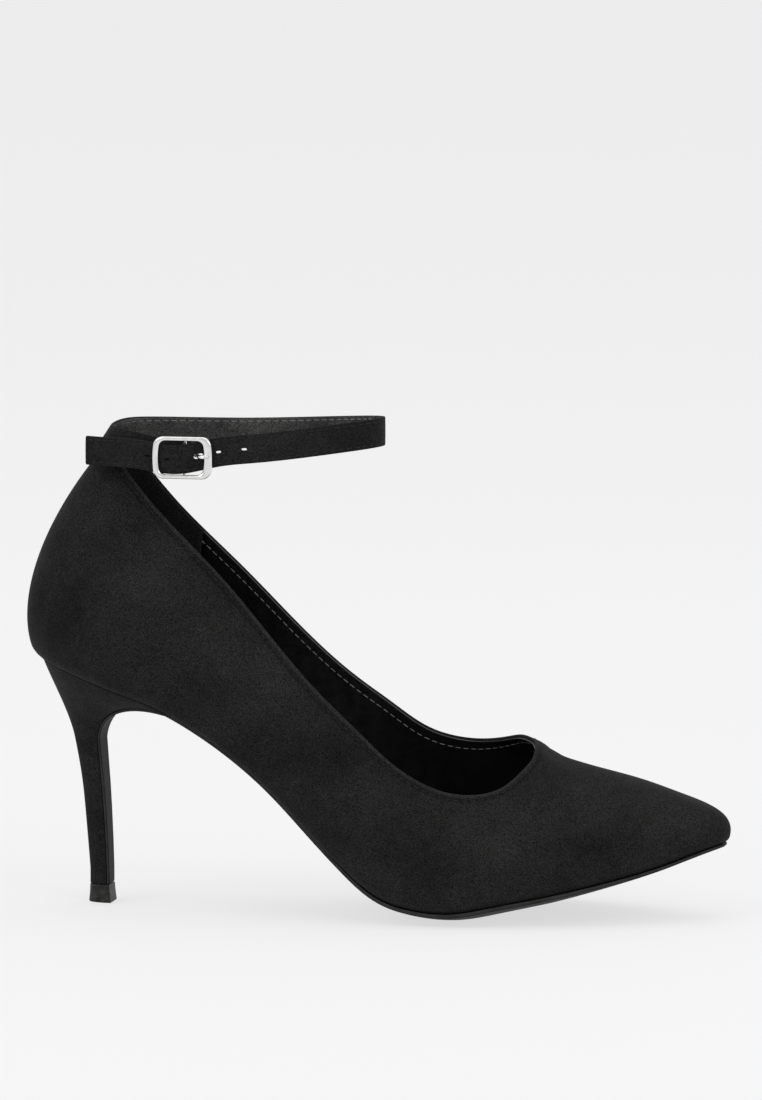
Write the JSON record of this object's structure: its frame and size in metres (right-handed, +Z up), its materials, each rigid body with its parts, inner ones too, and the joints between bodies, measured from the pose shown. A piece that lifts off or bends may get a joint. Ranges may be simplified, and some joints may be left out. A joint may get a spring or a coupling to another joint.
{
  "type": "ankle strap pump",
  "caption": "Pointed-toe stiletto pump for the right foot in black suede, with a slim buckled ankle strap, standing empty on heel tip and forefoot.",
  "frame": {"origin": "middle of the top lift's underside, on the floor", "axes": "+X towards the toe, +Z up, -Y towards the outer side of the foot, where the buckle sits"},
  "size_m": [0.2469, 0.0806, 0.1715],
  "materials": {
    "suede": "black suede",
    "sock": "smooth black lining",
    "outsole": "dark grey satin",
    "top_lift": "dark grey, slightly glossy",
    "silver": "polished"
  },
  "bodies": {
    "root": {"upper": "suede", "outsole": "outsole", "insole": "sock", "heel": "suede", "top_lift": "top_lift", "ankle_strap": "suede", "buckle_frame": "silver", "buckle_prong": "silver"}
  },
  "joints": []
}
